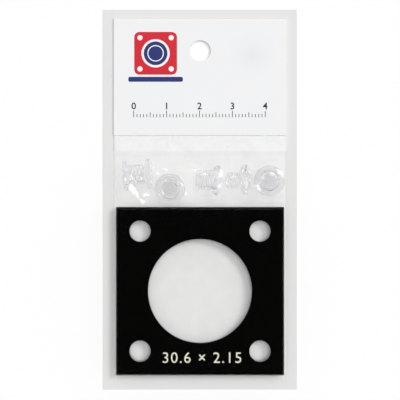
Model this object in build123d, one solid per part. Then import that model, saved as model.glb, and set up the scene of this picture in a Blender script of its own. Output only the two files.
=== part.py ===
"""Screw-together coin holder for one half dollar, as it hangs in a shop.

Three square acrylic plates lie in a clear film bag, with four screws and four screw posts
loose above them. The bag's neck is held between the panels of a folded header card. The
pack lies on its back: X is across it, Y runs up to the hang hole, Z is up. The origin is on
the surface below the middle of the pack. Lengths are in millimetres.
"""

from build123d import *
from math import cos, radians, sqrt
import os

# ---- header card ----------------------------------------------------------------------
CARD = 0.35
CARD_WIDTH = 52.4
CARD_TOP_Y = 55.3
FRONT_PANEL = 35.6
REAR_PANEL = 40.4
HANG_HOLE_D = 6.35
HANG_HOLE_X = 0.1
HANG_HOLE_Y = 45.4

# ---- bag ------------------------------------------------------------------------------
FILM = 0.10
BAG_WIDTH = 52.4
BAG_TOP_Y = 38.0
BAG_MOUTH_Y = -55.3
SIDE_BEAD = 0.25  # flat edge where the two webs are welded
STEP_FOOT_Y = 13.4  # the back web steps up from here onto the card's rear panel
FILM_GAP = 0.2  # air between the front web and the plates
LIE_GAP = 0.05  # air between two flat things that lie on each other

# ---- plates ---------------------------------------------------------------------------
PLATE = 50.8
PLATE_Y = -27.5
CLEAR_PLATE = 1.6
CENTRE_PLATE = 2.4
PLATE_BEVEL = 0.15
COIN_OPENING_D = 31.4
CORNER_HOLE_D = 6.35
CORNER_SPACING = 36.2

# ---- screws and posts -----------------------------------------------------------------
HEAD_D = 9.1
HEAD = 1.7  # from the flat underside to the crown
HEAD_RIM = 1.1  # straight part of the head's edge
HEAD_EDGE = 0.2
SHANK_D = 4.8
SHANK = 5.5
PITCH = 25.4 / 24
SLOT_WIDTH = 1.2
SLOT_DEPTH = 0.85
BARREL_D = 6.1
BARREL = 5.4
BORE_D = 4.9
BORE_DEPTH = 6.1
TIP_BEVEL = 0.4
MOUTH_BEVEL = 0.25

# ---- where the loose pieces lie ---------------------------------------------------------
LYING_SET = (-14.3, 8.0)  # crown of the lying set's screw
LYING_SET_YAW = 5
LYING_SET_OPEN = 0.6  # the lying set is unscrewed by this much
SHUT_GAP = 0.02  # left where a set is screwed home
STANDING_SET = (-9.1, 3.3)
TURNED_SET = (20.9, 5.8)
LOOSE_POST = (4.7, 5.9)  # middle of the flange's underside
LOOSE_POST_YAW = -3
LOOSE_SCREW = (13.3, 6.1)  # middle of the head's underside
LOOSE_SCREW_YAW = 2

# ---- how the front web hangs over the loose pieces ------------------------------------------
WEB_TOP_X = PLATE / 2 + FILM_GAP
NECK_RISE_Y = 19.5  # it leaves the back web here
RIDGE_Y = (10.6, 2.6)  # lies along the tops of the loose pieces between these
SHOULDER_Y = -1.4  # and comes down to the plates from here
TENT = [  # x across the bag, height on the ridge, height on the shoulder
    (-WEB_TOP_X, 9.5, 6.8),
    (-13.6, 9.6, 8.5),
    (-9.1, 9.7, 9.3),
    (-4.4, 9.5, 8.5),
    (0.4, 8.1, 7.0),
    (4.4, 9.5, 8.5),
    (8.6, 7.8, 6.8),
    (12.4, 9.3, 8.1),
    (16.2, 9.5, 7.7),
    (20.9, 9.7, 7.9),
    (WEB_TOP_X, 9.5, 7.0),
]

# ---- heights that follow ----------------------------------------------------------------
neck_z = CARD + LIE_GAP / 2  # the bag's neck lies on the card's rear panel
front_panel_z = neck_z + 2 * FILM + LIE_GAP / 2
card_top_z = front_panel_z + CARD
lie_z = FILM + LIE_GAP / 2
rear_plate_z = FILM + LIE_GAP
centre_plate_z = rear_plate_z + CLEAR_PLATE + LIE_GAP
front_plate_z = centre_plate_z + CENTRE_PLATE + LIE_GAP
stack_top_z = front_plate_z + CLEAR_PLATE
rear_panel_end_y = CARD_TOP_Y - REAR_PANEL
neck_end_y = rear_panel_end_y - 0.2
plates_top_y = PLATE_Y + PLATE / 2
head_r, shank_r, barrel_r = HEAD_D / 2, SHANK_D / 2, BARREL_D / 2


# ---- header card ----------------------------------------------------------------------
def header_card():
    """One strip of card folded over at the top, its rear panel longer than its front one."""
    fold_r = card_top_z / 2
    fold_y = CARD_TOP_Y - fold_r
    panels = Part()
    for length, z in ((REAR_PANEL, 0), (FRONT_PANEL, front_panel_z)):
        flat = length - fold_r
        panels += Pos(0, fold_y - flat / 2, z + CARD / 2) * Box(CARD_WIDTH, flat, CARD)
    ring = Cylinder(fold_r, CARD_WIDTH) - Cylinder(fold_r - CARD, CARD_WIDTH)
    fold = Pos(0, fold_y, fold_r) * Rot(0, 90, 0) * ring
    beyond = Pos(0, fold_y + fold_r, fold_r) * Box(CARD_WIDTH, 2 * fold_r, 4 * fold_r)
    drill = Pos(HANG_HOLE_X, HANG_HOLE_Y, 0) * Cylinder(HANG_HOLE_D / 2, 8 * CARD)
    return panels + (fold & beyond) - drill


# ---- bag ------------------------------------------------------------------------------
def bag_back_film():
    """The back web: flat on the table, stepping up onto the card's rear panel at the neck."""
    under = [(BAG_MOUTH_Y, 0), (STEP_FOOT_Y, 0), (neck_end_y, neck_z), (BAG_TOP_Y, neck_z)]
    over = [(y, z + FILM) for y, z in reversed(under)]
    side = make_face(Polyline(*[(0, y, z) for y, z in under + over], close=True))
    return extrude(side, BAG_WIDTH / 2, dir=(1, 0, 0), both=True)


def web_section(y, floor, heights, outside):
    """A face across the bag at y: the front web's outside, or the space under it."""
    edge = BAG_WIDTH / 2
    foot = edge - SIDE_BEAD
    if outside:
        weld = [(foot, floor + FILM), (edge, floor + FILM), (edge, floor)]
    else:
        weld = [(foot - FILM, floor)]
    grow = FILM if outside else 0
    roof = [(x * (1 + grow / WEB_TOP_X), z + grow) for (x, _, _), z in zip(TENT, heights)]
    left = [(-x, z) for x, z in reversed(weld)]
    return make_face(Polyline(*[(x, y, z) for x, z in left + roof + weld], close=True))


def bag_front_film():
    """The front web: a faceted tent over the loose pieces, then flat over the plates."""
    neck = neck_z + FILM
    ridge = [high for _, high, _ in TENT]
    shoulder = [low for _, _, low in TENT]

    def level(z):
        return [z] * len(TENT)

    def rising(y):
        share = (NECK_RISE_Y - y) / (NECK_RISE_Y - RIDGE_Y[0])
        return [neck + share * (high - neck) for high in ridge]

    plates = level(stack_top_z + FILM_GAP)
    stations = [  # y, top face of the back web, underside of the front web across the bag
        (BAG_TOP_Y, neck, level(neck + 0.01)),
        (NECK_RISE_Y, neck, level(neck + 0.02)),
        (neck_end_y, neck, rising(neck_end_y)),
        (STEP_FOOT_Y, FILM, rising(STEP_FOOT_Y)),
        (RIDGE_Y[0], FILM, ridge),
        (RIDGE_Y[1], FILM, ridge),
        (SHOULDER_Y, FILM, shoulder),
        (plates_top_y - 0.5, FILM, plates),
        (BAG_MOUTH_Y, FILM, plates),
    ]
    outside = [web_section(*station, outside=True) for station in stations]
    inside = [web_section(*station, outside=False) for station in stations[1:]]
    return loft(outside, ruled=True) - loft(inside, ruled=True)


# ---- plates ---------------------------------------------------------------------------
def plate(thickness, coin_opening):
    """A sawn acrylic square with a post hole at each corner and an optional coin opening."""
    body = Box(PLATE, PLATE, thickness, align=(Align.CENTER, Align.CENTER, Align.MIN))
    body = chamfer(body.edges(), PLATE_BEVEL)
    post_holes = GridLocations(CORNER_SPACING, CORNER_SPACING, 2, 2)
    body -= [place * Cylinder(CORNER_HOLE_D / 2, 4 * thickness) for place in post_holes]
    if coin_opening:
        body -= Cylinder(COIN_OPENING_D / 2, 4 * thickness)
    return body


# ---- screws and posts: made standing on their tip end, head up, underside at z = 0 -------
def turned(stem_outline):
    """A round piece: the outline of its stem, from the axis to the head's underside, and a head.

    The head has a flat underside, a straight rim and a low domed crown.
    """
    dome = HEAD - HEAD_RIM
    dome_r = (head_r**2 + dome**2) / (2 * dome)
    halfway = HEAD - dome_r + sqrt(dome_r**2 - (head_r / 2) ** 2)
    rim = [(head_r - HEAD_EDGE, 0), (head_r, HEAD_EDGE), (head_r, HEAD_RIM)]
    side = Polyline(*[(r, 0, z) for r, z in stem_outline + rim])
    crown = ThreePointArc((head_r, 0, HEAD_RIM), (head_r / 2, 0, halfway), (0, 0, HEAD))
    axis = Line((0, 0, HEAD), (0, 0, stem_outline[0][1]))
    return revolve(make_face(side + crown + axis), Axis.Z)


def screw():
    shank = [(0, -SHANK), (shank_r - TIP_BEVEL, -SHANK), (shank_r, TIP_BEVEL - SHANK), (shank_r, 0)]
    slot = Pos(0, 0, HEAD) * Box(2 * HEAD_D, SLOT_WIDTH, 2 * SLOT_DEPTH)
    return turned(shank) - slot


def post():
    bore_r, floor, rim_bevel = BORE_D / 2, BORE_DEPTH - BARREL, MOUTH_BEVEL / 2
    bore = [(0, floor), (bore_r, floor), (bore_r, MOUTH_BEVEL - BARREL), (bore_r + MOUTH_BEVEL, -BARREL)]
    barrel = [(barrel_r - rim_bevel, -BARREL), (barrel_r, rim_bevel - BARREL), (barrel_r, 0)]
    return turned(bore + barrel)


def on_its_side(stem_r, reach, place, yaw):
    """Puts a lone fastener on the film, on its head's rim and on its stem, reach from the head."""
    x, y = place
    rise = head_r - stem_r
    slope = Vector(reach, rise).get_angle(Vector(1, 0))
    height = head_r * cos(radians(slope)) + lie_z
    return Pos(x, y, height) * Rot(0, 0, yaw) * Rot(0, 90 - slope, 0)


# ---- places: a fastener's own +Z points out of its crown ---------------------------------
lying_axis = Rot(0, 0, LYING_SET_YAW) * Rot(0, 90, 0)
lying_crown = Pos(*LYING_SET, lie_z + head_r)
lying_screw = lying_crown * lying_axis * Pos(0, 0, -HEAD)
lying_post = lying_screw * Pos(0, 0, -BARREL - LYING_SET_OPEN) * Rot(180, 0, 0)
standing_post = Pos(*STANDING_SET, lie_z + HEAD) * Rot(180, 0, 0)
standing_screw = Pos(*STANDING_SET, lie_z + HEAD + BARREL + SHUT_GAP) * Rot(0, 0, 35)
turned_screw = Pos(*TURNED_SET, lie_z + HEAD) * Rot(180, 0, 60)
turned_post = Pos(*TURNED_SET, lie_z + HEAD + BARREL + SHUT_GAP)
loose_post = on_its_side(barrel_r, BARREL - MOUTH_BEVEL / 2, LOOSE_POST, LOOSE_POST_YAW)
loose_screw = on_its_side(shank_r, SHANK - TIP_BEVEL, LOOSE_SCREW, LOOSE_SCREW_YAW)

clear_plate = plate(CLEAR_PLATE, coin_opening=False)
pieces = {
    "bag_back_film": bag_back_film(),
    "bag_front_film": bag_front_film(),
    "header_card": header_card(),
    "clear_rear_plate": Pos(0, PLATE_Y, rear_plate_z) * clear_plate,
    "black_centre_plate": Pos(0, PLATE_Y, centre_plate_z) * plate(CENTRE_PLATE, coin_opening=True),
    "clear_front_plate": Pos(0, PLATE_Y, front_plate_z) * clear_plate,
    "screw_1": lying_screw * screw(),
    "post_1": lying_post * post(),
    "screw_2": standing_screw * screw(),
    "post_2": standing_post * post(),
    "screw_3": turned_screw * screw(),
    "post_3": turned_post * post(),
    "screw_4": loose_screw * screw(),
    "post_4": loose_post * post(),
}

os.makedirs("parts", exist_ok=True)
for name, piece in pieces.items():
    export_step(piece, f"parts/{name}.step")
    print(name, round(piece.volume, 2), "mm3")
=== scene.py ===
# %% [markdown]
# # A coin holder kit in its hang bag
# Three square acrylic plates, four clear screws and four clear screw posts lie in a clear film
# bag, and a folded white card closes the bag's neck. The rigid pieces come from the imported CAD
# model, which is the fixed frame of this scene. Blender adds what a CAD solid can't show: film
# that drapes and creases, moulded threads, print, and finishes that vary over each surface.

# %% Load the frame
import math
import bmesh
import bpy
import numpy as np
from mathutils import Matrix, Vector


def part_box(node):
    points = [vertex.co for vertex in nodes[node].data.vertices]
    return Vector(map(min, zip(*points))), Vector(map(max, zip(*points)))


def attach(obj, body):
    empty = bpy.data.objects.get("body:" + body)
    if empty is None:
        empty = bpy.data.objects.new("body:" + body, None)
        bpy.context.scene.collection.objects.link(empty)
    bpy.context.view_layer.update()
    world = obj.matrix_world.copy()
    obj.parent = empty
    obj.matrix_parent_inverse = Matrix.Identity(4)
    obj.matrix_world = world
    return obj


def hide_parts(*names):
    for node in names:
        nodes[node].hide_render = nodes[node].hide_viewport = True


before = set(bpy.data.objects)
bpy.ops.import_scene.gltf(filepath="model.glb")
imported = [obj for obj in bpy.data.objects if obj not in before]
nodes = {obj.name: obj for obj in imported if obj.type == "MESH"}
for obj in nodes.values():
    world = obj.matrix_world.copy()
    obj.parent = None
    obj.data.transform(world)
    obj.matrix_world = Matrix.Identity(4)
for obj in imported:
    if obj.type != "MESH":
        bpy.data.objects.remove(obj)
scene = bpy.context.scene
MM = 0.001


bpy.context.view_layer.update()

# %% [markdown]
# ## Camera
# The pack lies on its back and is seen from straight above, from far enough away that the
# plates' own thickness hardly shows. The lens is chosen so that the plates' faces have their
# real size: the picture is 120.96 mm wide at their height. A look through the film and the
# clear plates crosses many surfaces, and light turns round many times inside a sawn edge, so
# the limits on bounces are high: with low ones those edges would be black.

# %% Camera
CAMERA_HEIGHT = 0.60
VIEW_WIDTH = 120.96 * MM
FACE_HEIGHT = 4.2 * MM
SENSOR = 36.0


def new_object(name, data):
    """An object in the scene."""
    made = bpy.data.objects.new(name, data)
    scene.collection.objects.link(made)
    return made


lens = SENSOR * (CAMERA_HEIGHT - FACE_HEIGHT) / VIEW_WIDTH
camera_data = bpy.data.cameras.new("camera")
camera_data.sensor_width, camera_data.lens = SENSOR, lens
camera_data.clip_start = 0.01
camera = new_object("camera", camera_data)
camera.location = (0, 0, CAMERA_HEIGHT)
scene.camera = camera
scene.view_settings.view_transform = "Standard"
scene.cycles.transparent_max_bounces = 64
scene.cycles.transmission_bounces = scene.cycles.glossy_bounces = scene.cycles.max_bounces = 32
print("lens in mm:", round(lens, 1))

# %% [markdown]
# ## Helpers for node trees
# Materials, the world and Geometry Nodes are all built from nodes. These helpers add a node and
# fill its sockets in one line, either with a plain value or with another node's output.

# %% Node helpers
def feed(tree, socket, value):
    """Links an output, or a node's first one, into a socket, or writes a plain value."""
    if isinstance(value, bpy.types.Node):
        value = value.outputs[0]
    if isinstance(value, bpy.types.NodeSocket):
        tree.links.new(value, socket)
    elif value is not None:
        socket.default_value = value


def fill(tree, made, **values):
    """Feeds a node's inputs by name; an underscore stands for a space."""
    for name, value in values.items():
        feed(tree, made.inputs[name.replace("_", " ")], value)


def node(tree, kind, *inputs, **settings):
    """Adds a node: settings are its properties or named inputs, then inputs in order."""
    made = tree.nodes.new(kind)
    for name, value in settings.items():
        if hasattr(made, name):
            setattr(made, name, value)
        else:
            fill(tree, made, **{name: value})
    for socket, value in zip(made.inputs, inputs):
        feed(tree, socket, value)
    return made


def calc(tree, operation, *values, clamp=False):
    """A Math node on outputs or plain numbers."""
    return node(tree, "ShaderNodeMath", *values, operation=operation, use_clamp=clamp)


def mixed(tree, factor, first, second, blend="MIX"):
    """A colour mix; first and second are outputs or colours."""
    made = node(tree, "ShaderNodeMix", data_type="RGBA", blend_type=blend)
    for index, value in ((0, factor), (6, first), (7, second)):
        feed(tree, made.inputs[index], (*value, 1) if isinstance(value, tuple) else value)
    return made.outputs[2]


# %% [markdown]
# ## Light
# One soft lamp stands at the upper right, a little above 50 degrees, as the shadows inside the
# coin opening show. A wide lamp beside the camera fills them; nothing mirrors it, or it would
# stand as a white spot on the black plate. The rest is a pale dome. A glossy black plate seen
# from above mirrors whatever hangs over it, so the dome is dark round the zenith, as it is round
# a camera in a studio, and has a bright ring below the dark, brighter on the lamp's side.
#
# Clear plastic bends the view sideways, so through it the camera looks at the room below the
# ring, which is white there, as the backdrop is. A path that was mirrored once is left out of
# that, because it is the black plate seen through the clear one. The dome's own brightness
# depends on direction alone, so every view sees the same room.

# %% Dome
DOME = [  # height of a direction above the horizon (its sine), and the brightness there
    (0.00, 0.27), (0.78, 0.33), (0.87, 0.95), (0.955, 0.95), (0.976, 0.006)]
RING_FROM = DOME[2][0]
LEAN = 0.45  # how much brighter the dome is on the lamp's side
LAMP_TURN, LAMP_HEIGHT = math.radians(30), math.radians(56)
world = bpy.data.worlds.new("pale dome")
world.use_nodes = True
scene.world = world
sky = world.node_tree
sky.nodes.clear()
where = node(sky, "ShaderNodeTexCoord").outputs["Generated"]
up = node(sky, "ShaderNodeSeparateXYZ", where).outputs["Z"]
ramp = node(sky, "ShaderNodeValToRGB", up)
ramp.color_ramp.interpolation = "EASE"
while len(ramp.color_ramp.elements) < len(DOME):
    ramp.color_ramp.elements.new(1.0)
for element, (height, light) in zip(ramp.color_ramp.elements, DOME):
    element.position, element.color = height, (light, light, light, 1)
to_side = (LEAN * math.cos(LAMP_TURN), LEAN * math.sin(LAMP_TURN), 0)
lean = node(sky, "ShaderNodeVectorMath", where, to_side, operation="DOT_PRODUCT").outputs["Value"]
leaning = mixed(sky, 1.0, ramp, calc(sky, "ADD", lean, 1.0), "MULTIPLY")
path = node(sky, "ShaderNodeLightPath").outputs
below_ring = calc(sky, "LESS_THAN", up, RING_FROM)
mirrored_once = calc(sky, "COMPARE", path["Glossy Depth"], 1.0, 0.5)
not_mirrored = calc(sky, "SUBTRACT", 1.0, mirrored_once)
through_glass = calc(sky, "MULTIPLY", path["Is Transmission Ray"],
                     calc(sky, "MULTIPLY", below_ring, not_mirrored))
shows_white = calc(sky, "MAXIMUM", path["Is Camera Ray"], through_glass)
glow = node(sky, "ShaderNodeBackground", mixed(sky, shows_white, leaning, (1, 1, 1)))
node(sky, "ShaderNodeOutputWorld", glow)

# %% Lamps
def sun(name, direction, energy, spread):
    """A lamp far away in a direction, as wide as spread degrees."""
    data = bpy.data.lights.new(name, "SUN")
    data.energy, data.angle = energy, math.radians(spread)
    made = new_object(name, data)
    made.rotation_euler = direction.to_track_quat("Z", "Y").to_euler()
    return made


to_lamp = Vector((math.cos(LAMP_TURN) * math.cos(LAMP_HEIGHT),
                  math.sin(LAMP_TURN) * math.cos(LAMP_HEIGHT), math.sin(LAMP_HEIGHT)))
sun("soft lamp", to_lamp, 0.80, 18)
fill_lamp = sun("fill by the camera", Vector((0.05, 0.05, 1)), 1.05, 25)
fill_lamp.visible_glossy = fill_lamp.visible_transmission = False
print("lamp direction:", [round(c, 2) for c in to_lamp])

# %% [markdown]
# ## Meshes with their place in them
# Every finished piece has its object at the origin, with its place in its mesh, as the CAD
# nodes have. The helpers below make such an object from points and faces or from a curve, let
# it ride on its CAD body, and give it its finish.

# %% Helpers for pieces
def dress(mesh, material):
    """Gives a mesh its finish."""
    mesh.materials.clear()
    mesh.materials.append(material)


def piece_of(name, mesh, body, material):
    """A piece that rides on a CAD body. The mesh already has its place."""
    made = new_object(name, mesh)
    dress(mesh, material)
    if body is not None:
        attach(made, body)
    return made


def mesh_of(name, points, faces):
    """A mesh from points and faces."""
    mesh = bpy.data.meshes.new(name)
    mesh.from_pydata([tuple(p) for p in points], [], faces)
    mesh.validate()
    return mesh


def evaluated_mesh(obj):
    """The plain mesh that an object's curve, text or modifiers make."""
    bpy.context.view_layer.update()
    return bpy.data.meshes.new_from_object(obj.evaluated_get(bpy.context.evaluated_depsgraph_get()))


def mesh_from(name, data, place=Matrix()):
    """The mesh of a curve or text, moved to its place."""
    holder = new_object(name, data)
    mesh = evaluated_mesh(holder)
    bpy.data.objects.remove(holder)
    mesh.name = name
    mesh.transform(place)
    return mesh


def closed_and_outward(work, mesh):
    """Merges doubles, turns the faces outwards and writes the result into the mesh."""
    bmesh.ops.remove_doubles(work, verts=work.verts, dist=1e-7)
    bmesh.ops.recalc_face_normals(work, faces=work.faces)
    work.to_mesh(mesh)
    work.free()
    return mesh


def recalculated(mesh):
    """The same mesh, closed and with its faces outwards."""
    work = bmesh.new()
    work.from_mesh(mesh)
    return closed_and_outward(work, mesh)


def smooth(mesh, sharp_from):
    """Smooth shading, but for edges that bend more than sharp_from degrees."""
    mesh.shade_smooth()
    mesh.set_sharp_from_angle(angle=math.radians(sharp_from))
    return mesh


# %% [markdown]
# ## Table and backdrop
# The pack lies on a pale grey sheet on a white table. The sheet is a little wider than the
# pack, and white shows through the card's hang hole, so the sheet is punched there too.

# %% Outlines of flat things
def circle(x, y, r, count=64):
    """A closed loop of points round (x, y)."""
    turns = [2 * math.pi * k / count for k in range(count)]
    return [(x + r * math.cos(a), y + r * math.sin(a)) for a in turns]


def rounded_rectangle(x, y, wide, tall, r):
    """A closed loop of points with quarter rounds at its corners."""
    loop = []
    for sx, sy, start in ((1, 1, 0), (-1, 1, 90), (-1, -1, 180), (1, -1, 270)):
        for k in range(9):
            a = math.radians(start + k * 90 / 8)
            loop.append((x + sx * (wide / 2 - r) + r * math.cos(a),
                         y + sy * (tall / 2 - r) + r * math.sin(a)))
    return loop


def flat_shape(name, loops, bottom, thickness):
    """A sheet cut to closed loops; a loop inside another is a hole. Millimetres in, metres out."""
    curve = bpy.data.curves.new(name, "CURVE")
    curve.dimensions, curve.fill_mode, curve.extrude = "2D", "BOTH", thickness * MM / 2
    for loop in loops:
        spline = curve.splines.new("POLY")
        spline.points.add(len(loop) - 1)
        for point, (x, y) in zip(spline.points, loop):
            point.co = (x * MM, y * MM, 0, 1)
        spline.use_cyclic_u = True
    lift = Matrix.Translation((0, 0, (bottom + thickness / 2) * MM))
    return recalculated(mesh_from(name, curve, lift))


# %% Table and backdrop
BACKDROP = (0.0, 0.15, 59.1, 115.7)  # middle x and y, width, height
BACKDROP_THICKNESS = 0.3
HANG_HOLE = (0.1, 45.4)
BACKDROP_HOLE_R = 4.2
TABLE_REACH = 3000


def finish_material(name):
    """A new material with its node tree and its Principled shader."""
    made = bpy.data.materials.new(name)
    made.use_nodes = True
    tree = made.node_tree
    return made, tree, tree.nodes["Principled BSDF"]


def plain_material(name, colour, roughness):
    made, tree, shader = finish_material(name)
    fill(tree, shader, Base_Color=(*colour, 1), Roughness=roughness, Specular_IOR_Level=0.1)
    return made


backdrop_mesh = flat_shape(
    "grey_sheet", [rounded_rectangle(*BACKDROP, 0.2), circle(*HANG_HOLE, BACKDROP_HOLE_R)],
    -BACKDROP_THICKNESS, BACKDROP_THICKNESS)
backdrop = piece_of("grey_sheet", backdrop_mesh, None,
                    plain_material("grey sheet", (0.805, 0.789, 0.784), 0.85))
table_corners = [(sx * TABLE_REACH * MM, sy * TABLE_REACH * MM, -BACKDROP_THICKNESS * MM)
                 for sx, sy in ((-1, -1), (1, -1), (1, 1), (-1, 1))]
table = piece_of("white_table", mesh_of("white_table", table_corners, [(0, 1, 2, 3)]), None,
                 plain_material("white table", (1, 1, 1), 0.9))

# %% [markdown]
# ## Shared effects
# Two effects come back in several finishes, so each is a node group: fine waviness or grain
# that bends the normal, and dust or scuffs that are a mask. Both read Object coordinates, so
# they stay put on the piece from every side.

# %% Helpers for groups
def new_group(name, inputs, outputs, kind="ShaderNodeTree"):
    """A node group; inputs gives each socket's default, outputs each socket's type."""
    group = bpy.data.node_groups.new(name, kind)
    for label, value in inputs.items():
        socket = {int: "Int", float: "Float"}.get(type(value), label)
        made = group.interface.new_socket(label, in_out="INPUT", socket_type=f"NodeSocket{socket}")
        if value is not None:
            made.default_value = value
    for label, socket in outputs.items():
        group.interface.new_socket(label, in_out="OUTPUT", socket_type=f"NodeSocket{socket}")
    return group, group.nodes.new("NodeGroupInput"), group.nodes.new("NodeGroupOutput")


def object_place(tree):
    """The point on the piece, in metres."""
    return node(tree, "ShaderNodeTexCoord").outputs["Object"]


def noise_on(tree, per_metre, detail, **more):
    """Soft noise from 0 to 1 that stays put on the piece."""
    made = node(tree, "ShaderNodeTexNoise", Scale=per_metre, Detail=detail, **more)
    fill(tree, made, Vector=object_place(tree))
    return made


# %% Group: fine grain
grain, given, gives = new_group(
    "fine grain", {"Per metre": 1000.0, "Depth": 0.0001, "Strength": 0.3},
    {"Normal": "Vector", "Height": "Float"})
grain_height = noise_on(grain, given.outputs["Per metre"], 4.0, Roughness=0.6)
bump = node(grain, "ShaderNodeBump", Strength=given.outputs["Strength"],
            Distance=given.outputs["Depth"], Height=grain_height)
fill(grain, gives, Normal=bump, Height=grain_height)

# %% Group: dust and scuffs
dust, given, gives = new_group(
    "dust and scuffs", {"Per metre": 900.0, "Share": 0.1, "Scuffs": 0.2}, {"Mask": "Float"})
specks = node(dust, "ShaderNodeTexVoronoi", Vector=object_place(dust),
              Scale=given.outputs["Per metre"])
small = calc(dust, "SUBTRACT", given.outputs["Share"], specks.outputs["Distance"])
speck_mask = calc(dust, "MULTIPLY", small, 8.0, clamp=True)
stretched = node(dust, "ShaderNodeMapping", Vector=object_place(dust), Rotation=(0, 0, 0.5),
                 Scale=(1, 0.06, 1))
hairs = node(dust, "ShaderNodeTexNoise", Vector=stretched, Scale=1500.0, Detail=2.0)
fine = calc(dust, "GREATER_THAN", hairs, 0.68)
scuff_mask = calc(dust, "MULTIPLY", fine, given.outputs["Scuffs"])
fill(dust, gives, Mask=calc(dust, "MAXIMUM", speck_mask, scuff_mask))


def use_group(tree, group, **values):
    made = tree.nodes.new("ShaderNodeGroup")
    made.node_tree = group
    fill(tree, made, **values)
    return made


def fine_grain(tree, shader, per_metre, depth, strength):
    """Gives a shader the shared grain as its normal, and returns the grain's height."""
    surface = use_group(tree, grain, Per_metre=per_metre, Depth=depth, Strength=strength)
    fill(tree, shader, Normal=surface.outputs["Normal"])
    return surface.outputs["Height"]


print("groups:", [g.name for g in bpy.data.node_groups])

# %% [markdown]
# ## Card
# The header is coated white board: bright, faintly blue, satin rather than glossy. Fibres
# under the coating give it a shallow grain, its cut edges show the warmer core, and its colour
# is painted greyer in a soft round patch to the right of the hang hole.

# %% Card finish
GREY_PATCH, GREY_PATCH_RADII = (16, 44, 1), (9, 8, 9)


def facing_up(tree):
    """1 where a face looks along Z, 0 where it is an edge of the sheet."""
    normal = node(tree, "ShaderNodeNewGeometry").outputs["True Normal"]
    parts = node(tree, "ShaderNodeSeparateXYZ", normal)
    return calc(tree, "GREATER_THAN", calc(tree, "ABSOLUTE", parts.outputs["Z"]), 0.7)


def soft_spot(tree, centre, radii):
    """1 at the middle of a soft round patch, 0 outside it; centre and radii in mm."""
    shift = node(tree, "ShaderNodeMapping", vector_type="TEXTURE", Vector=object_place(tree),
                 Location=[c * MM for c in centre], Scale=[r * MM for r in radii])
    ball = node(tree, "ShaderNodeTexGradient", shift, gradient_type="QUADRATIC_SPHERE")
    return ball.outputs["Fac"]


card_material, tree, shader = finish_material("coated white card")
face = mixed(tree, noise_on(tree, 60.0, 3.0), (0.885, 0.890, 0.902), (0.905, 0.905, 0.912))
# The card's colour is painted greyer in a soft round patch to the right of the hang hole.
grey_patch = calc(tree, "MULTIPLY", soft_spot(tree, GREY_PATCH, GREY_PATCH_RADII), 0.75)
grey_patched = mixed(tree, grey_patch, face, (0.80, 0.81, 0.825))
fibre = fine_grain(tree, shader, 4500.0, 0.00002, 0.35)
fill(tree, shader, Base_Color=mixed(tree, facing_up(tree), (0.84, 0.83, 0.80), grey_patched),
     Roughness=calc(tree, "MULTIPLY_ADD", fibre, 0.2, 0.36), Specular_IOR_Level=0.4)
dress(nodes["header_card"].data, card_material)

# %% [markdown]
# ## Acrylic
# The centre plate is solid black acrylic, polished, with a few specks of dust that its own
# static holds. The outer plates are clear. Their faces are polished and their sawn edges are
# not, so the edges scatter light and read as pale lines. Acrylic's index is 1.49. The clear
# plates have 1.40, because each face takes a little of the light and four of them lie over the
# coin opening, which would be too grey. Lamp light and bounced light pass straight through a
# clear plate by a Transparent shader, so what lies under it isn't left in the dark.

# %% Acrylic finishes
def lighting_ray(tree):
    """1 for a ray that only carries light: to a lamp, or after a matt bounce."""
    rays = node(tree, "ShaderNodeLightPath").outputs
    return calc(tree, "MAXIMUM", rays["Is Shadow Ray"], rays["Is Diffuse Ray"])


def mixed_shaders(tree, factor, first, second):
    """A Mix Shader: first at factor 0, second at 1."""
    return node(tree, "ShaderNodeMixShader", factor, first, second)


def let_light_through(tree, shader, tint):
    """Lets light through as if the piece were a thin tinted pane."""
    pane = node(tree, "ShaderNodeBsdfTransparent", (*tint, 1))
    output = next(n for n in tree.nodes if n.type == "OUTPUT_MATERIAL")
    fill(tree, output, Surface=mixed_shaders(tree, lighting_ray(tree), shader, pane))


black_material, tree, shader = finish_material("black acrylic")
specks = use_group(tree, dust, Per_metre=700.0, Share=0.07, Scuffs=0.03).outputs["Mask"]
fill(tree, shader, Base_Color=mixed(tree, specks, (0.0014, 0.0014, 0.0013), (0.03, 0.03, 0.03)),
     Roughness=calc(tree, "MULTIPLY_ADD", specks, 0.35, 0.05), IOR=1.49)
dress(nodes["black_centre_plate"].data, black_material)

clear_material, tree, shader = finish_material("clear acrylic")
sawn = calc(tree, "SUBTRACT", 1.0, facing_up(tree))
specks = use_group(tree, dust, Per_metre=600.0, Share=0.05, Scuffs=0.02).outputs["Mask"]
uneven = calc(tree, "MAXIMUM", sawn, specks)
fill(tree, shader, Base_Color=mixed(tree, facing_up(tree), (0.90, 0.93, 0.93), (1, 1, 1)),
     Roughness=calc(tree, "MULTIPLY_ADD", uneven, 0.26, 0.02), Transmission_Weight=1.0,
     IOR=1.40, Specular_IOR_Level=0.10)
let_light_through(tree, shader, (1, 1, 1))
for name in ("clear_rear_plate", "clear_front_plate"):
    dress(nodes[name].data, clear_material)
print("finished:", card_material.name, black_material.name, clear_material.name)

# %% [markdown]
# ## Screws and posts
# Each screw and each post is moulded in clear plastic, turned about its own axis: a domed head
# or flange, and a stem that is solid with an outside thread or hollow with an inside one. The
# rule is the same for both, so one Geometry Nodes tree turns any outline on a lathe, presses
# the thread into the part of the outline that asks for it, and cuts a screwdriver slot.
# A right-hand thread's crest climbs one pitch per turn, whichever end it is seen from.

# %% Helpers for geometry trees
def geometry_tree(name, sizes):
    """A Geometry Nodes tree: a mesh goes in and comes out, with named sizes and a material."""
    return new_group(name, {"Geometry": None, **sizes, "Material": None},
                     {"Geometry": "Geometry"}, "GeometryNodeTree")


def end_tree(tree, geometry, given, gives):
    """Ends a tree: plain geometry instead of instances, with its material."""
    real = node(tree, "GeometryNodeRealizeInstances", geometry)
    coated = node(tree, "GeometryNodeSetMaterial", Geometry=real,
                  Material=given.outputs["Material"])
    fill(tree, gives, Geometry=coated)


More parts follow.
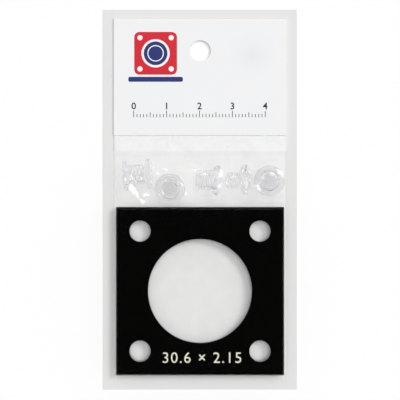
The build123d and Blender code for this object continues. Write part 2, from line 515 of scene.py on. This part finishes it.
def run_tree(tree, start, name, **values):
    """Puts a tree on a start mesh and returns the plain mesh that comes out."""
    holder = new_object(name, start)
    modifier = holder.modifiers.new("nodes", "NODES")
    modifier.node_group = tree
    for socket in tree.interface.items_tree:
        label = socket.name.replace(" ", "_")
        if socket.item_type == "SOCKET" and socket.in_out == "INPUT" and label in values:
            modifier[socket.identifier] = values[label]
    mesh = evaluated_mesh(holder)
    mesh.name = name
    holder.modifiers.remove(modifier)
    bpy.data.objects.remove(holder)
    return mesh


# %% Lathe tree: a row for each point of the outline, a column for each step round
lathe, given, gives = geometry_tree("thread lathe", {
    "Rows": 10, "Around": 96, "Pitch": 0.001, "Thread depth": 0.0003, "Phase": 0.0,
    "Slot width": 0.001, "Slot depth": 0.0, "Crown": 0.0017})
size = given.outputs
grid = node(lathe, "GeometryNodeMeshGrid", Vertices_X=calc(lathe, "ADD", size["Around"], 1),
            Vertices_Y=size["Rows"])
index = node(lathe, "GeometryNodeInputIndex")
row = calc(lathe, "MODULO", index, size["Rows"])
column = calc(lathe, "FLOOR", calc(lathe, "DIVIDE", index, size["Rows"]))
turn = calc(lathe, "DIVIDE", column, size["Around"])


def from_outline(kind, field):
    """Reads the outline's value in this vertex's row."""
    return node(lathe, "GeometryNodeSampleIndex", data_type=kind, Geometry=size["Geometry"],
                Value=field, Index=row).outputs["Value"]


outline_place = node(lathe, "ShaderNodeSeparateXYZ", from_outline(
    "FLOAT_VECTOR", node(lathe, "GeometryNodeInputPosition")))
thread_weight = node(lathe, "GeometryNodeInputNamedAttribute", data_type="FLOAT", Name="thread")
threaded = from_outline("FLOAT", thread_weight.outputs["Attribute"])
radius, height = outline_place.outputs["X"], outline_place.outputs["Z"]

# %% Lathe tree: the thread, a valley that climbs as it goes round
climb = calc(lathe, "SUBTRACT", calc(lathe, "DIVIDE", height, size["Pitch"]), turn)
within = calc(lathe, "FRACT", calc(lathe, "ADD", climb, size["Phase"]))
there_and_back = calc(lathe, "SUBTRACT", calc(lathe, "MULTIPLY", within, 2.0), 1.0)
valley = calc(lathe, "SUBTRACT", 1.0, calc(lathe, "ABSOLUTE", there_and_back))
flank = calc(lathe, "MULTIPLY_ADD", valley, 1.35, -0.15, clamp=True)
pressed = calc(lathe, "MULTIPLY", flank, threaded)
reach_out = calc(lathe, "SUBTRACT", radius,
                 calc(lathe, "MULTIPLY", pressed, size["Thread depth"]))
angle = calc(lathe, "MULTIPLY", turn, 2 * math.pi)
spot = node(lathe, "ShaderNodeCombineXYZ",
            calc(lathe, "MULTIPLY", reach_out, calc(lathe, "COSINE", angle)),
            calc(lathe, "MULTIPLY", reach_out, calc(lathe, "SINE", angle)), height)
turned = node(lathe, "GeometryNodeSetPosition", Geometry=grid, Position=spot)
closed = node(lathe, "GeometryNodeMergeByDistance", Geometry=turned, Distance=2e-7)

# %% Lathe tree: the slot, cut only where it has a depth
cutter_size = node(lathe, "ShaderNodeCombineXYZ", 0.02, size["Slot width"],
                   calc(lathe, "MULTIPLY", size["Slot depth"], 2.0))
cutter = node(lathe, "GeometryNodeMeshCube", Size=cutter_size)
crown = node(lathe, "ShaderNodeCombineXYZ", Z=size["Crown"])
lifted = node(lathe, "GeometryNodeTransform", Geometry=cutter, Translation=crown)
slotted = node(lathe, "GeometryNodeMeshBoolean", operation="DIFFERENCE", solver="MANIFOLD",
               Mesh_1=closed, Mesh_2=lifted)
has_slot = calc(lathe, "GREATER_THAN", size["Slot depth"], 0.0)
either = node(lathe, "GeometryNodeSwitch", has_slot, closed, slotted, input_type="GEOMETRY")
end_tree(lathe, either, given, gives)
print("lathe nodes:", len(lathe.nodes))

# %% [markdown]
# ## Clear moulded plastic
# What tells a clear fastener from the air round it is refraction, so its finish is glass with a
# plastic's index, 1.50. A faint wash of colour differs between screws and posts, and shallow
# mould marks break up the highlights. They let light through as the clear plates do, with a
# little less of it, which gives them a faint shadow.

# %% Fastener finish
def moulded_plastic(name, tint):
    made, tree, shader = finish_material(name)
    fine_grain(tree, shader, 900.0, 0.00004, 0.25)
    fill(tree, shader, Base_Color=mixed(tree, noise_on(tree, 260.0, 2.0), tint, (0.99, 0.99, 0.99)),
         Roughness=0.01, Transmission_Weight=1.0, IOR=1.50)
    let_light_through(tree, shader, (0.95, 0.95, 0.955))
    return made


screw_plastic = moulded_plastic("clear plastic, warm", (0.985, 0.985, 0.965))
post_plastic = moulded_plastic("clear plastic, cool", (0.975, 0.968, 0.995))

# %% [markdown]
# ## Outlines of a screw and a post
# An outline is a row of points from the axis round to the axis again. Corners are rounded as a
# mould rounds them. The stretch that carries the thread has a row every 0.07 mm, enough for
# the lathe tree to shape the flanks, and its thread fades in and out at both ends.

# %% Outline helpers
HEAD_R, HEAD, HEAD_RIM = 4.55, 1.7, 1.1
SHANK_R, SHANK, TIP_BEVEL = 2.4, 5.5, 0.4
BARREL_R, BARREL = 3.05, 5.4
BORE_R, BORE_FLOOR, MOUTH_BEVEL = 2.46, 0.7, 0.25
PITCH = 25.4 / 24
THREAD_DEPTH, THREAD_ROW = 0.34, 0.07
SLOT_WIDTH, SLOT_DEPTH = 1.2, 0.85


def rounded(corner, before, after, size):
    """Five points that round a corner of an outline by about size."""
    (x, z), (bx, bz), (ax, az) = corner, before, after
    lb, la = math.hypot(bx - x, bz - z), math.hypot(ax - x, az - z)
    start = (x + (bx - x) * size / lb, z + (bz - z) * size / lb)
    end = (x + (ax - x) * size / la, z + (az - z) * size / la)
    return [tuple((1 - t) ** 2 * s + 2 * t * (1 - t) * c + t * t * e
                  for s, c, e in zip(start, corner, end)) for t in (0, 0.25, 0.5, 0.75, 1)]


def head_outline(stem_r):
    """From the stem's root round the head to the crown."""
    root, under, rim = (stem_r, 0), (HEAD_R, 0), (HEAD_R, HEAD_RIM)
    sphere = (HEAD_R**2 + (HEAD - HEAD_RIM) ** 2) / (2 * (HEAD - HEAD_RIM))
    points = rounded(root, (stem_r, -1), under, 0.22)
    points += rounded(under, root, rim, 0.2)
    points += rounded(rim, under, (HEAD_R - 1, HEAD_RIM + 0.28), 0.22)
    for r in np.linspace(HEAD_R - 0.5, 0, 12):
        points.append((r, HEAD - sphere + math.sqrt(sphere**2 - r * r)))
    return points


def thread_rows(r, start, end, fade):
    """Rows from start to end with their thread weight."""
    heights = np.linspace(start, end, int(abs(end - start) / THREAD_ROW))
    weights = np.clip(np.minimum(abs(heights - start), abs(heights - end)) / fade, 0, 1)
    return [(r, z) for z in heights], list(weights)


def outline_mesh(name, parts):
    """parts are (points, weights or None) in order; the result has a thread attribute."""
    points, weights = [], []
    for spots, share in parts:
        points += spots
        weights += share if share is not None else [0.0] * len(spots)
    mesh = mesh_of(name, [(x * MM, 0, z * MM) for x, z in points], [])
    mesh.attributes.new("thread", "FLOAT", "POINT").data.foreach_set("value", weights)
    return mesh, len(points)


# %% Outlines
def screw_outline():
    tip = rounded((SHANK_R - TIP_BEVEL, -SHANK), (0, -SHANK), (SHANK_R, TIP_BEVEL - SHANK), 0.12)
    return outline_mesh("screw_outline", [
        ([(0, -SHANK), (1.0, -SHANK)] + tip, None),
        thread_rows(SHANK_R, 0.42 - SHANK, -0.75, 0.45), (head_outline(SHANK_R), None)])


def post_outline():
    bore_start, mouth_r = -BARREL + MOUTH_BEVEL, BORE_R + MOUTH_BEVEL
    inside = [(0, BORE_FLOOR), (1.0, BORE_FLOOR)] + rounded(
        (BORE_R, BORE_FLOOR), (0, BORE_FLOOR), (BORE_R, 0), 0.2)
    mouth = [(BORE_R, bore_start), (mouth_r, -BARREL)]
    lip = rounded((BARREL_R, -BARREL), (mouth_r, -BARREL), (BARREL_R, 0), 0.12)
    return outline_mesh("post_outline", [
        (inside, None), thread_rows(BORE_R, 0.3, bore_start + 0.9, 0.35),
        (mouth + lip + [(BARREL_R, -3.6), (BARREL_R, -1.8)], None), (head_outline(BARREL_R), None)])


for outline in (screw_outline, post_outline):
    print(outline.__name__, "rows:", outline()[1])

# %% [markdown]
# ## Where the fasteners lie
# One set lies on its side, one stands on its post, one stands on its screw's head, and the
# last screw and post are apart. A piece's own Z points out of its crown, with zero at the
# head's underside, as in the CAD model. A post's thread is turned to mesh with its own screw,
# but for the last one, which has none in it.

# %% Places
FILM = 0.10
LIE = FILM + 0.025  # top of the back web, and a little air
SHUT_GAP = 0.02
LYING_SET, LYING_SET_OPEN = (-14.3, 8.0), 0.6
STANDING_SET, TURNED_SET = (-9.1, 3.3), (20.9, 5.8)


def at(x, y, z):
    return Matrix.Translation((x, y, z))


def about(axis, degrees):
    return Matrix.Rotation(math.radians(degrees), 4, axis)


def on_its_side(stem_r, length, x, y, yaw):
    """Resting on the head's rim and on the stem's far end."""
    slope = math.degrees(math.atan2(HEAD_R - stem_r, length))
    rise = HEAD_R * math.cos(math.radians(slope)) + LIE
    return at(x, y, rise) @ about("Z", yaw) @ about("Y", 90 - slope)


lying = at(*LYING_SET, LIE + HEAD_R) @ about("Z", 5) @ about("Y", 90) @ at(0, 0, -HEAD)
foot_z = LIE + HEAD
top_z = foot_z + BARREL + SHUT_GAP
places = {
    "screw_1": lying,
    "post_1": lying @ at(0, 0, -BARREL - LYING_SET_OPEN) @ about("X", 180),
    "screw_2": at(*STANDING_SET, top_z) @ about("Z", 35),
    "post_2": at(*STANDING_SET, foot_z) @ about("X", 180),
    "screw_3": at(*TURNED_SET, foot_z) @ about("X", 180) @ about("Z", 60),
    "post_3": at(*TURNED_SET, top_z),
    "screw_4": on_its_side(SHANK_R, SHANK - TIP_BEVEL, 13.3, 6.1, 2),
    "post_4": on_its_side(BARREL_R, BARREL - MOUTH_BEVEL / 2, 4.7, 5.9, -3),
}


def meshing_phase(screw_place, post_place):
    """The post's thread phase, in turns, that puts its grooves round the screw's crests."""
    between = post_place.inverted() @ screw_place
    turn_at_zero = math.atan2(between[1][0], between[0][0]) / (2 * math.pi)
    return turn_at_zero - between[2][3] / PITCH


# %% Turn the fasteners
fasteners = {}
for name, place in places.items():
    kind, number = name.split("_")
    is_screw = kind == "screw"
    start, rows = screw_outline() if is_screw else post_outline()
    plastic = screw_plastic if is_screw else post_plastic
    alone = is_screw or number == "4"
    phase = 0.0 if alone else meshing_phase(places[f"screw_{number}"], place)
    mesh = run_tree(lathe, start, f"{name}_moulded", Rows=rows, Around=96, Pitch=PITCH * MM,
                    Thread_depth=THREAD_DEPTH * MM, Phase=phase, Slot_width=SLOT_WIDTH * MM,
                    Slot_depth=SLOT_DEPTH * MM if is_screw else 0.0, Crown=HEAD * MM,
                    Material=plastic)
    in_place = place.copy()
    in_place.translation *= MM
    mesh.transform(in_place)
    smooth(recalculated(mesh), 38)
    fasteners[name] = piece_of(f"{name}_moulded", mesh, name, plastic)
    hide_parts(name)
    low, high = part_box(name)
    off = max(max(*(low - v.co), *(v.co - high)) for v in mesh.vertices)
    print(name, "faces:", len(mesh.polygons), "beyond the CAD box by mm:", round(off / MM, 3))

# %% [markdown]
# ## Film over the contents
# The CAD model gives the bag's front web as a faceted tent that leaves the loose pieces room to
# move. Real film hangs from the same points with rounder bends, so the web starts as the CAD
# surface and is relaxed: each point moves to the mean of its four neighbours, and is lifted back
# wherever something lies under it. Rows lie closer together over the loose pieces. Blender's
# cloth could drape it too, but here the film has to stay clear of pieces that move by tenths of
# a millimetre, and a floor that it can't pass says exactly that.

# %% Grid of the film
EDGE_X, MOUTH_Y, NECK_Y = 26.2, -55.3, 38.0
STACK_TOP, PLATE_HALF, PLATE_Y = 5.85, 25.4, -27.5
PLATES_END_Y = -2.5  # just inside the plates' upper edge
LOOSE_END_Y = 13  # beyond the loose pieces
PANEL_END = 19.7
wall = PLATE_HALF + np.array([0.0, 0.12, 0.2, 0.27, 0.33, 0.38, 0.43, 0.48, 0.53, 0.6, 0.8])
columns = np.concatenate([-wall[::-1], np.linspace(-25.1, 25.1, 150), wall])
ys = np.concatenate([np.linspace(MOUTH_Y, -4, 80), np.linspace(-3.75, 20, 96),
                     np.linspace(20.3, NECK_Y, 36)])
X, Y = np.meshgrid(columns, ys, indexing="ij")
cad_film = nodes["bag_front_film"]


def cad_film_top(x, y):
    """Height of the CAD film's outside in mm, measured straight down onto it."""
    hit, spot, *_ = cad_film.ray_cast((x * MM, y * MM, 0.1), (0, 0, -1))
    return spot.z / MM if hit else 0.2


tent = np.array([[cad_film_top(x, y) for y in ys] for x in np.clip(columns, -26.19, 26.19)])
print("film points:", tent.size, "highest in mm:", round(float(tent.max()), 2))

# %% What lies under the film
THREAD_TRAVEL = 0.53
SHUFFLE = [(0, -3, 0), (0, 1.5, 0)]
TRAVEL = {  # how far the loose pieces move from where they lie, in mm
    "post_1": [(-1.58, -0.14, 0), (0.53, 0.05, 0)], "screw_2": [(0, 0, THREAD_TRAVEL)],
    "post_3": [(0, 0, THREAD_TRAVEL)], "screw_4": SHUFFLE, "post_4": SHUFFLE}
FILM_CLEAR = 0.12
STEP_Y = [13.4, 14.7]  # the back web climbs onto the card's rear panel between these
under = np.interp(Y, STEP_Y, [FILM, 0.475]) + 0.04
on_plates = (abs(X) < PLATE_HALF + 0.05) & (abs(Y - PLATE_Y) < PLATE_HALF + 0.1)
under[on_plates] = STACK_TOP + FILM_CLEAR
for name, made in fasteners.items():
    at_rest = np.array([v.co for v in made.data.vertices]) / MM
    for shift in [(0, 0, 0)] + TRAVEL.get(name, []):
        spots = at_rest + shift
        i = np.searchsorted(columns, spots[:, 0])
        j = np.searchsorted(ys, spots[:, 1])
        for di in (-1, 0):
            for dj in (-1, 0):
                np.maximum.at(under, (i + di, j + dj), spots[:, 2] + FILM_CLEAR)

# %% [markdown]
# ## Smoother floor
# A thread or a rim makes a rough floor, and film drawn over it would copy every ridge, which
# breaks a highlight into crumbs. Film bridges such gaps, so the floor is widened and averaged
# over the loose pieces first, and never lowered.

# %% Smooth the floor under the film
def shifted(grid, size):
    """The grid moved by every step up to size, both ways."""
    wide = np.pad(grid, size, mode="edge")
    steps = range(2 * size + 1)
    return [wide[a:a + grid.shape[0], b:b + grid.shape[1]] for a in steps for b in steps]


loose = (Y > PLATES_END_Y) & (Y < LOOSE_END_Y)
spread = np.max(shifted(under, 2), axis=0)
bridged = np.maximum(under, np.mean(shifted(spread, 2), axis=0))
under = np.where(loose, bridged, under)
print("floor smoothed on", int(loose.sum()), "points")

# %% Relax the film
def relax(height, floor, fixed, rounds):
    """Moves free points to their neighbours' mean, never below the floor."""
    for _ in range(rounds):
        wide = np.pad(height, 1, mode="edge")
        mean = (wide[:-2, 1:-1] + wide[2:, 1:-1] + wide[1:-1, :-2] + wide[1:-1, 2:]) / 4
        height = np.where(fixed, height, np.maximum(mean, floor))
    return height


SLACK_ROUNDS = 70
start = np.maximum(tent - 0.06, under)
fixed = ((abs(X) > PLATE_HALF + 0.4) | (Y > PANEL_END - 0.1)
         | ((Y < PLATES_END_Y) & (abs(X) < PLATE_HALF)))
film = relax(start, under, fixed, SLACK_ROUNDS)
print("sags at most by mm:", round(float((tent - film).max()), 2))

# %% [markdown]
# ## Folds
# Film doesn't stretch, so what is too much of it gathers in straight, sharp folds between the
# points that it hangs from. Each fold here is a low tent: a line from one point to another,
# with a narrow face that looks towards the lamp and a steeper one that looks away.

# %% Folds
FOLDS = [  # from x, y to x, y, height, width of the lit side, width of the other side
    (-25.9, 12.5, -19.0, 17.5, 0.30, 1.6, 0.8),
    (-11.5, 9.6, -15.0, 16.5, 0.28, 1.2, 0.8),
    (-4.9, 2.2, -2.0, -2.1, 0.30, 1.1, 0.7),
    (1.6, 9.6, -1.0, 15.5, 0.30, 1.2, 0.8),
    (9.5, 10.0, 8.2, 17.0, 0.30, 1.3, 0.8),
    (16.4, 2.2, 19.0, -2.1, 0.30, 1.0, 0.7),
    (24.2, 10.5, 25.9, 14.5, 0.35, 1.0, 0.6),
]


def fold(height, x0, y0, x1, y1, rise, lit, dark):
    """Adds one tent along a line, fading towards both of its ends."""
    along = np.array([x1 - x0, y1 - y0])
    length = np.hypot(*along)
    along = along / length
    across = np.array([-along[1], along[0]])
    if across @ np.array([to_lamp.x, to_lamp.y]) < 0:
        across = -across
    t = ((X - x0) * along[0] + (Y - y0) * along[1]) / length
    d = (X - x0) * across[0] + (Y - y0) * across[1]
    side = np.where(d > 0, 1 - d / lit, 1 + d / dark)
    ends = np.clip(np.minimum(t, 1 - t) * 4 + 0.15, 0, 1) * ((t > -0.04) & (t < 1.04))
    return height + rise * np.clip(side, 0, 1) * ends


for line in FOLDS:
    film = fold(film, *line)

# %% Ripples, calm over the plates, at the card and at the sides
RIPPLES, RIPPLE_HEIGHT = 26, 0.035
rng = np.random.default_rng(5)
ripple = np.zeros_like(film)
for _ in range(RIPPLES):
    heading, size = rng.uniform(0, math.pi), rng.uniform(3.0, 11.0)
    ripple += size / 11 * np.sin((X * math.cos(heading) + Y * math.sin(heading)) * 2 * math.pi / size
                                 + rng.uniform(0, 6.3))
calm = (np.clip((Y - PLATES_END_Y) / 4, 0.05, 1) * np.clip((PANEL_END - Y) / 2, 0, 1)
        * np.clip((EDGE_X - abs(X)) / 2, 0, 1))
film = film + RIPPLE_HEIGHT * ripple * calm

# %% [markdown]
# ## Faces that catch the lamp
# A crease flashes where a small face of it happens to mirror the lamp. Such a face leans halfway
# between the lamp and the camera, so small patches of the film are turned to that slope where
# the photograph has its highlights. Beside the plates a long narrow strip leans the same way.

# %% Faces that catch the lamp
FACES = [  # x, y, half length, half width, heading in degrees
    (-21.2, 7.0, 1.3, 0.45, 5), (-22.3, 5.9, 1.0, 0.45, 60), (-18.9, 1.8, 3.7, 0.85, -57),
    (-16.3, 1.6, 1.3, 0.60, 10), (-13.9, 10.0, 1.1, 0.35, 90), (-12.7, 7.9, 0.7, 0.50, 20),
    (-10.3, 9.2, 1.1, 0.35, -25), (-10.3, 5.7, 0.6, 0.45, 0), (-5.4, 6.4, 0.6, 0.45, -40),
    (1.3, 7.7, 1.6, 0.40, 0), (6.0, 4.2, 1.5, 0.35, 66),
    (10.3, 6.9, 1.5, 0.40, 0), (14.9, 7.2, 1.7, 0.35, 88), (21.5, 7.9, 0.9, 0.60, 0),
    (19.1, 6.7, 0.8, 0.50, 20), (20.9, 1.5, 0.6, 0.50, 0)]
halfway = (to_lamp + Vector((0, 0, 1))).normalized()
LIT_SLOPE = (-halfway.x / halfway.z, -halfway.y / halfway.z)


def lit_face(height, x, y, half_long, half_wide, heading):
    """Turns a small patch of the film so that it mirrors the lamp to the camera."""
    c, s = math.cos(math.radians(heading)), math.sin(math.radians(heading))
    along = abs((X - x) * c + (Y - y) * s) / half_long
    across = abs((Y - y) * c - (X - x) * s) / half_wide
    window = np.clip((1 - np.maximum(along, across)) / 0.35 + 1, 0, 1)
    middle = (height * window).sum() / window.sum()
    plane = middle + (X - x) * LIT_SLOPE[0] + (Y - y) * LIT_SLOPE[1]
    return height + window * (plane - height)


for face in FACES:
    film = lit_face(film, *face)
print("folds:", len(FOLDS), "lit faces:", len(FACES), "lit slope:", [round(c, 3) for c in LIT_SLOPE])
film = np.where(fixed, np.minimum(tent, film), np.maximum(film, under - 0.02))

# %% Strip that catches the lamp beside the plates
STRIP_FOOT, STRIP_Y, STRIP_SLOPE = 25.78, (-53.5, -22.5), 0.30
ends = np.clip(np.minimum(Y - STRIP_Y[0], STRIP_Y[1] - Y) / 2, 0, 1)
film = film + ends * (X > STRIP_FOOT - 0.01) * STRIP_SLOPE * np.clip(EDGE_X - X, 0, None)
print("highest film:", round(float(film.max()), 2), "mm")

# %% [markdown]
# ## The webs as sheets
# The height field becomes a mesh whose outermost columns are packed close, so that the web
# turns down over the plates' edges in a small round and not in a facet. Solidify gives it a
# real film's thickness. The back web lies flat and steps up onto the card.
#
# Clear film is seen by its gloss, which grows as it turns away, and by a little white haze. It
# is clear where it is drawn tight over the plates and hazier where it is slack, so the front
# web's haze comes up at the plates' upper edge. The back web's haze lies behind the plates'
# holes, which would be too dark without it. Only rays that look at the outside meet either.

# %% Film finish
def bag_film(name, index, white, haze, patchy, hazy_from, hazy_to):
    """Clear film: gloss by angle on its outside, and a share of white haze.

    The haze comes up between two places along the bag, given in mm, and patchy says how
    unevenly it lies, from 0 to 1.
    """
    made, tree, _ = finish_material(name)
    tree.nodes.clear()
    inside = node(tree, "ShaderNodeNewGeometry").outputs["Backfacing"]
    looked_at = calc(tree, "MULTIPLY", calc(tree, "SUBTRACT", 1.0, inside),
                     calc(tree, "SUBTRACT", 1.0, lighting_ray(tree)))
    patches = node(tree, "ShaderNodeMapRange", noise_on(tree, 150.0, 1.0), From_Min=0.3,
                   From_Max=0.7, To_Min=haze * (1 - patchy), To_Max=haze * (1 + patchy))
    along = node(tree, "ShaderNodeSeparateXYZ", object_place(tree)).outputs["Y"]
    hazy = node(tree, "ShaderNodeMapRange", along, interpolation_type="SMOOTHSTEP",
                From_Min=hazy_from * MM, From_Max=hazy_to * MM)
    milky = calc(tree, "MULTIPLY", patches, hazy)
    clear = node(tree, "ShaderNodeBsdfTransparent", (1, 1, 1, 1))
    milk = node(tree, "ShaderNodeBsdfDiffuse", (white, white, white, 1))
    cloudy = mixed_shaders(tree, calc(tree, "MULTIPLY", milky, looked_at), clear, milk)
    gloss = node(tree, "ShaderNodeBsdfPrincipled", (1, 1, 1, 1), Metallic=1.0, Roughness=0.09)
    waves = use_group(tree, grain, Per_metre=420.0, Depth=0.00012, Strength=0.12).outputs["Normal"]
    fill(tree, gloss, Normal=waves)
    fresnel = node(tree, "ShaderNodeFresnel", IOR=index, Normal=waves)
    shine = mixed_shaders(tree, calc(tree, "MULTIPLY", fresnel, looked_at), cloudy, gloss)
    node(tree, "ShaderNodeOutputMaterial", shine)
    return made


front_film = bag_film("clear bag film, front", index=1.38, white=0.80, haze=0.25, patchy=0.25,
                      hazy_from=-2.6, hazy_to=-0.6)
back_film = bag_film("clear bag film, back", index=1.22, white=1.0, haze=0.55, patchy=0.08,
                     hazy_from=-53.9, hazy_to=-52.2)

# %% Build the webs
FRONT_WEB, BACK_WEB = 0.08, 0.06  # thickness in mm


def film_piece(name, heights, thickness, material):
    """A grid of the film's columns and rows at these heights, as a closed piece of film."""
    wide, long = heights.shape
    points = [(columns[i] * MM, ys[j] * MM, heights[i, j] * MM)
              for i in range(wide) for j in range(long)]
    faces = [(i * long + j, (i + 1) * long + j, (i + 1) * long + j + 1, i * long + j + 1)
             for i in range(wide - 1) for j in range(long - 1)]
    mesh = mesh_of(name, points, faces)
    mesh.shade_smooth()
    made = piece_of(name, mesh, None, material)
    modifier = made.modifiers.new("film", "SOLIDIFY")
    modifier.thickness, modifier.offset = thickness * MM, 1.0
    mesh = evaluated_mesh(made)
    made.modifiers.clear()
    made.data = mesh
    return made


back_heights = np.broadcast_to(np.interp(ys, STEP_Y, [0.02, 0.395]), (len(columns), len(ys))) + 0.0
front_sheet = film_piece("front_web", film - FRONT_WEB, FRONT_WEB, front_film)
back_sheet = film_piece("back_web", back_heights, BACK_WEB, back_film)
for web, replaced in ((front_sheet, "bag_front_film"), (back_sheet, "bag_back_film")):
    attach(web, "bag")
    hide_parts(replaced)
print("film faces:", len(front_sheet.data.polygons), len(back_sheet.data.polygons))

# %% [markdown]
# ## Welded sides
# A hot wire cuts and welds the two webs in one go, which leaves a thin uneven bead along each
# side of the bag.

# %% Side welds
BEAD_R, BEAD_UNEVEN = 0.095, 0.012


def bead(name, side):
    """A tube along one side of the bag, slightly uneven in thickness."""
    count, around = 240, 8
    rows = np.linspace(MOUTH_Y + 0.05, NECK_Y - 0.05, count)
    lift = np.interp(rows, STEP_Y, [0.11, 0.47])
    wobble = np.random.default_rng(3 + side).normal(0, 1, count)
    wobble = np.convolve(wobble, np.ones(5) / 5, mode="same")
    points = []
    for y, z, w in zip(rows, lift, wobble):
        size = BEAD_R + BEAD_UNEVEN * w
        middle = side * (EDGE_X - 0.12)
        points += [((middle + size * math.cos(a)) * MM, y * MM, (z + size * 0.8 * math.sin(a)) * MM)
                   for a in np.linspace(0, 2 * math.pi, around, endpoint=False)]
    faces = [(r * around + k, r * around + (k + 1) % around, (r + 1) * around + (k + 1) % around,
              (r + 1) * around + k) for r in range(count - 1) for k in range(around)]
    faces += [tuple(range(around)), tuple((count - 1) * around + k for k in reversed(range(around)))]
    tube = smooth(recalculated(mesh_of(name, points, faces)), 60)
    return piece_of(name, tube, "bag", front_film)


welds = [bead("side_weld_left", -1), bead("side_weld_right", 1)]

# %% [markdown]
# ## Print on the card
# A printed pictogram of the holder itself stands at the upper left, and a plain centimetre
# ruler runs across the card. Ink is a layer about a hundredth of a millimetre thick that lies
# on the coating, so each colour is a thin solid of its own.

# %% Ink
CARD_TOP = 0.95
INK = 0.012
INK_FOOT = CARD_TOP + 0.002


def ink_material(name, colour, roughness):
    made, tree, shader = finish_material(name)
    paler = tuple(min(1.0, c * 1.25 + 0.01) for c in colour)
    fine_grain(tree, shader, 4500.0, 0.00001, 0.3)
    fill(tree, shader, Base_Color=mixed(tree, noise_on(tree, 2200.0, 3.0), colour, paler),
         Roughness=roughness, Specular_IOR_Level=0.25)
    return made


red_ink = ink_material("red ink", (0.60, 0.020, 0.035), 0.35)
navy_ink = ink_material("navy ink", (0.020, 0.035, 0.16), 0.35)
white_ink = ink_material("white ink", (0.86, 0.86, 0.87), 0.4)
black_ink = ink_material("black ink", (0.012, 0.012, 0.013), 0.4)

# %% Pictogram
px, py = -13.5, 44.6  # middle of the square
corners = [(px + sx * 4.75, py + sy * 4.75) for sx in (-1, 1) for sy in (-1, 1)]
layers = [  # name, ink, outlines, and how many layers lie under it
    ("pictogram_square", red_ink, [rounded_rectangle(px, py, 13.0, 13.0, 1.6)], 0),
    ("pictogram_opening", white_ink,
     [circle(px, py, 4.3)] + [circle(*corner, 0.8, 32) for corner in corners], 1),
    ("pictogram_coin", navy_ink, [circle(px, py, 3.6)], 2),
    ("pictogram_bar", navy_ink, [rounded_rectangle(px, 36.7, 16.6, 1.5, 0.5)], 0),
    ("pictogram_rim", white_ink, [circle(px, py, 2.5)], 3),
    ("pictogram_middle", navy_ink, [circle(px, py, 2.2)], 4),
]
for name, ink, loops, below in layers:
    piece_of(name, flat_shape(name, loops, INK_FOOT + below * INK, INK), "bag", ink)

# %% [markdown]
# ## Ruler
# Ticks repeat, so a Geometry Nodes tree sets them out: one every millimetre, longer at every
# fifth and tenth. The figures are Blender's own font, made a mesh before they are placed.

# %% Ruler ticks
ticks, given, gives = geometry_tree("ruler ticks", {
    "Count": 41, "Spacing": 0.001, "Width": 0.0002, "Length": 0.001, "Thickness": 0.00001})
size = given.outputs
spacing = node(ticks, "ShaderNodeCombineXYZ", size["Spacing"])
line = node(ticks, "GeometryNodeMeshLine", Count=size["Count"], Offset=spacing)
number = node(ticks, "GeometryNodeInputIndex")
fifth, tenth = [calc(ticks, "COMPARE", calc(ticks, "MODULO", number, every), 0, 0.1)
                for every in (5, 10)]
longer = calc(ticks, "ADD", calc(ticks, "MULTIPLY", fifth, 0.5),
              calc(ticks, "MULTIPLY", tenth, 0.5))
tick_length = calc(ticks, "MULTIPLY", calc(ticks, "ADD", 1.0, longer), size["Length"])
bar = node(ticks, "GeometryNodeMeshCube", Size=(1, 1, 1))
scale = node(ticks, "ShaderNodeCombineXYZ", size["Width"], tick_length, size["Thickness"])
copies = node(ticks, "GeometryNodeInstanceOnPoints", Points=line, Instance=bar,
              Scale=scale)
half_up = node(ticks, "ShaderNodeCombineXYZ", Y=calc(ticks, "MULTIPLY", tick_length, 0.5))
raised = node(ticks, "GeometryNodeSetPosition", Geometry=copies, Offset=half_up)
end_tree(ticks, raised, given, gives)

# %% Ruler
RULER_X, RULER_Y, FIGURES_Y = -20.15, 25.15, 27.6
ruler = run_tree(ticks, bpy.data.meshes.new("ruler_start"), "ruler_ticks", Count=41,
                 Spacing=1 * MM, Width=0.2 * MM, Length=1.0 * MM, Thickness=INK * MM,
                 Material=black_ink)
ruler.transform(Matrix.Translation((RULER_X * MM, RULER_Y * MM, (INK_FOOT + INK / 2) * MM)))
piece_of("ruler_ticks", ruler, "bag", black_ink)


def figures(name, words, size, y, bottom, thickness, weight=0.0, spread=1.0):
    """Numbers as a thin solid; words is a list of (text, x), weight thickens the strokes."""
    work = bmesh.new()
    for text, x in words:
        curve = bpy.data.curves.new(name, "FONT")
        curve.body, curve.size, curve.align_x = text, size * MM, "CENTER"
        curve.extrude, curve.offset, curve.space_character = thickness * MM / 2, weight * MM, spread
        curve.resolution_u = 4
        place = Matrix.Translation((x * MM, y * MM, (bottom + thickness / 2) * MM))
        work.from_mesh(mesh_from(name, curve, place))
    return closed_and_outward(work, bpy.data.meshes.new(name))


marks = [(str(k), RULER_X + 10 * k) for k in range(5)]
piece_of("ruler_figures", figures("ruler_figures", marks, 2.9, FIGURES_Y, INK_FOOT, INK, weight=0.04),
         "bag", black_ink)

# %% [markdown]
# ## Foil stamping
# The coin's size is stamped on the black plate in pale gold foil: a metal layer, a little
# uneven where the die pressed it, in the gap between the black plate and the clear one.

# %% Foil stamping
FOIL_FOOT, FOIL = 4.203, 0.02
foil, tree, shader = finish_material("pale gold foil")
fine_grain(tree, shader, 3500.0, 0.00004, 0.6)
worn = mixed(tree, noise_on(tree, 5200.0, 3.0), (0.74, 0.72, 0.52), (0.96, 0.95, 0.80))
fill(tree, shader, Base_Color=worn, Roughness=0.5, Metallic=0.25)
size_mark = piece_of(
    "size_mark", figures("size_mark", [("30.6 × 2.15", 0.6)], 4.6, -49.2, FOIL_FOOT, FOIL, spread=1.14),
    "black_centre_plate", foil)
print("size mark in mm:", [round(c, 2) for c in size_mark.dimensions / MM])
